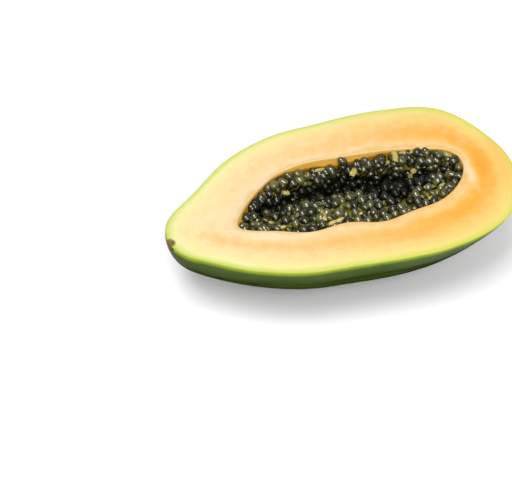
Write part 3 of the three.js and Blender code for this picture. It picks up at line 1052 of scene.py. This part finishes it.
def select_vertices(piece, wanted):
    """Selects vertices by their place and leaves the piece in edit mode"""
    make_active(piece)
    bpy.ops.object.mode_set(mode="EDIT")
    bpy.ops.mesh.select_mode(type="VERT")
    bpy.ops.mesh.select_all(action="DESELECT")
    bpy.ops.object.mode_set(mode="OBJECT")
    for vertex in piece.data.vertices:
        vertex.select = wanted(vertex.co)
    bpy.ops.object.mode_set(mode="EDIT")


def seed_shape(name, taper, dent):
    """One egg-shaped seed of radius 1, narrower at its top end and a little dented"""
    piece = new_sphere(name, SEED_COLUMNS, SEED_RINGS)
    select_vertices(piece, lambda co: co.z > SEED_TOP)
    bpy.ops.transform.resize(value=(taper, taper, SEED_STRETCH))
    bpy.ops.object.mode_set(mode="OBJECT")
    select_vertices(piece, lambda co: co.z < SEED_FOOT)
    bpy.ops.transform.resize(value=(FOOT_TAPER, FOOT_TAPER, 1))
    bpy.ops.object.mode_set(mode="OBJECT")
    roughen(piece, name, DENT_SIZE, dent)
    smooth_shading(piece)
    return piece


class PAPAYA_OT_seeds(Operator):
    """Adds the seeds: a top layer on the bed, more between and below it, and a few that stand proud"""

    bl_idname = "papaya.seeds"
    bl_label = "Seeds"

    def execute(self, context):
        fruit = context.scene.papaya_fruit
        seeds = context.scene.papaya_seeds
        shapes = [seed_shape(f"seed_shape_{i}", *shape) for i, shape in enumerate(SEED_SHAPES)]
        layers = [(*place, 0.0) for place in seed_places(fruit, seeds, 0, 0)]
        layers += [
            (*place, drop)
            for first, shift, slide, drop, everywhere in BETWEEN_LAYERS
            for place in seed_places(fruit, seeds, first, shift, slide)
            if everywhere
            or seed_slope(fruit, seeds, *place[1:]) > STEEP
            or seed_depth(fruit, seeds, *place[1:]) > seeds.brink_level
        ]
        spots = [
            (index, (x, y, CUT_HEIGHT - float(seed_depth(fruit, seeds, x, y)) - drop))
            for index, x, y, drop in layers
        ]
        spots += [
            (FIRST_PROUD + i, (x * MM, y * MM, CUT_HEIGHT - depth * MM))
            for i, (x, y, depth) in enumerate(PROUD_SEEDS)
        ]
        copies = []
        for index, spot in spots:
            mesh = shapes[int(draw(index, 7) * 3) % 3].data.copy()
            size = 1 + seeds.spread * (2 * draw(index, 3) - 1)
            lift = Vector((0, 0, seeds.jitter * (2 * draw(index, 2) - 1)))
            turns = [math.pi * draw(index, purpose) for purpose in (4, 5, 6)]
            turned = Euler(turns, "ZYX").to_matrix().to_4x4()
            scale = Matrix.Diagonal((*[r * size for r in seeds.radii], 1))
            upright = Matrix.Rotation(math.pi / 2, 4, "Y")
            mesh.transform(Matrix.Translation(Vector(spot) + lift) @ turned @ scale @ upright)
            over = max(vertex.co.z for vertex in mesh.vertices) - SEEDS_HIGH.z
            mesh.transform(Matrix.Translation((0, 0, -max(over, 0))))
            copy = bpy.data.objects.new(f"seed_{index}", mesh)
            context.scene.collection.objects.link(copy)
            # Painted shade of each seed, by its depth and place
            dark = float(seed_painted_shade(fruit, seeds, spot[0], spot[1], CUT_HEIGHT - spot[2]))
            write_attribute(copy, "tone", [draw(index, 8)] * len(mesh.vertices))
            write_attribute(copy, "shade", [dark] * len(mesh.vertices))
            copies.append(copy)
        piece = join_pieces(copies, "seed_pile")
        for shape in shapes:
            bpy.data.objects.remove(shape)
        piece.data.materials.append(seed_material(seeds))
        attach(piece, "root")
        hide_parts("seeds")
        return {"FINISHED"}


class PAPAYA_OT_tissue(Operator):
    """Adds pale scraps of the tissue that the seeds grow on"""

    bl_idname = "papaya.tissue"
    bl_label = "Tissue scraps"

    def execute(self, context):
        fruit = context.scene.papaya_fruit
        seeds = context.scene.papaya_seeds
        scraps = []
        for number, (x, y, above, length, width, turn, pale) in enumerate(SCRAPS):
            scrap = new_sphere(f"scrap_{number}", SCRAP_COLUMNS, SCRAP_RINGS)
            roughen(scrap, f"scrap_{number}", *SCRAP_LUMPS)
            shape = Matrix.Diagonal((length * MM / 2, width * MM / 2, width * MM / 2 / FLATNESS, 1))
            leans = [SCRAP_LEAN * (2 * draw(number, purpose) - 1) for purpose in (9, 10)]
            level = CUT_HEIGHT - float(seed_depth(fruit, seeds, x * MM, y * MM)) + above * MM
            place = Matrix.Translation((x * MM, y * MM, level))
            turned = Euler((*leans, math.radians(turn))).to_matrix().to_4x4()
            scrap.data.transform(place @ turned @ shape)
            write_attribute(scrap, "pale", [pale] * len(scrap.data.vertices))
            scraps.append(scrap)
        piece = join_pieces(scraps, "tissue_scraps")
        tissue = tissue_material("pale_wet_tissue", seeds.tissue_olive, seeds.tissue, 0.35)
        piece.data.materials.append(tissue)
        smooth_shading(piece)
        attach(piece, "root")
        return {"FINISHED"}


def aim_at(piece, target):
    piece.rotation_euler = (Vector(target) - piece.location).to_track_quat("-Z", "Y").to_euler()


class PAPAYA_OT_stage(Operator):
    """Adds the floor, the lights and the camera"""

    bl_idname = "papaya.stage"
    bl_label = "Stage"

    def execute(self, context):
        stage = context.scene.papaya_stage
        clear_selection()
        bpy.ops.mesh.primitive_plane_add(size=stage.floor_size)
        floor = context.active_object
        floor.name = "floor"
        material, tree = new_material("matt_white_paint")
        shader = add(tree, "BsdfPrincipled", {"Base Color": stage.floor, "Roughness": 0.9})
        add(tree, "OutputMaterial", {"Surface": shader})
        floor.data.materials.append(material)

        world = bpy.data.worlds.new("soft_white_room")
        world.use_nodes = True
        background = world.node_tree.nodes["Background"]
        background.inputs["Color"].default_value = linear("#ffffff")
        background.inputs["Strength"].default_value = stage.room_light
        context.scene.world = world

        for name, location, size, power in LIGHTS:
            bpy.ops.object.light_add(type="AREA", location=location)
            light = context.active_object
            light.name = name
            light.data.size = size
            light.data.energy = power
            aim_at(light, (0, 0, CUT_HEIGHT))

        azimuth, elevation = stage.camera_azimuth, stage.camera_elevation
        flat = math.cos(elevation)
        back = Vector((math.sin(azimuth) * flat, -math.cos(azimuth) * flat, math.sin(elevation)))
        bpy.ops.object.camera_add(location=Vector((0, 0, CUT_HEIGHT)) + back * stage.camera_distance)
        camera = context.active_object
        aside = Euler((stage.camera_tilt, stage.camera_pan, 0)).to_quaternion()
        camera.rotation_euler = ((-back).to_track_quat("-Z", "Y") @ aside).to_euler()
        camera.data.lens = stage.focal_length
        camera.data.sensor_width = SENSOR_WIDTH
        context.scene.camera = camera
        context.scene.view_settings.view_transform = "Standard"
        return {"FINISHED"}


class PAPAYA_PT_panel(Panel):
    """Lists the papaya's pieces and their settings"""

    bl_label = "Papaya"
    bl_idname = "PAPAYA_PT_panel"
    bl_space_type = "VIEW_3D"
    bl_region_type = "UI"
    bl_category = "Papaya"

    def draw(self, context):
        for operator in OPERATORS:
            self.layout.operator(operator.bl_idname)
        for group in ("papaya_fruit", "papaya_seeds", "papaya_stage"):
            settings = getattr(context.scene, group)
            box = self.layout.box()
            for name in settings.__annotations__:
                box.prop(settings, name)


SETTINGS = {
    "papaya_fruit": PapayaFruitSettings,
    "papaya_seeds": PapayaSeedSettings,
    "papaya_stage": PapayaStageSettings,
}
OPERATORS = (PAPAYA_OT_fruit, PAPAYA_OT_seed_bed, PAPAYA_OT_seeds, PAPAYA_OT_tissue, PAPAYA_OT_stage)


def register():
    for name, group in SETTINGS.items():
        bpy.utils.register_class(group)
        setattr(bpy.types.Scene, name, PointerProperty(type=group))
    for operator in OPERATORS:
        bpy.utils.register_class(operator)
    bpy.utils.register_class(PAPAYA_PT_panel)


def unregister():
    bpy.utils.unregister_class(PAPAYA_PT_panel)
    for operator in reversed(OPERATORS):
        bpy.utils.unregister_class(operator)
    for name, group in SETTINGS.items():
        delattr(bpy.types.Scene, name)
        bpy.utils.unregister_class(group)


def main():
    register()
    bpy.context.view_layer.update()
    bpy.ops.papaya.fruit()
    bpy.ops.papaya.seed_bed()
    bpy.ops.papaya.seeds()
    bpy.ops.papaya.tissue()
    bpy.ops.papaya.stage()


if __name__ == "__main__":
    main()
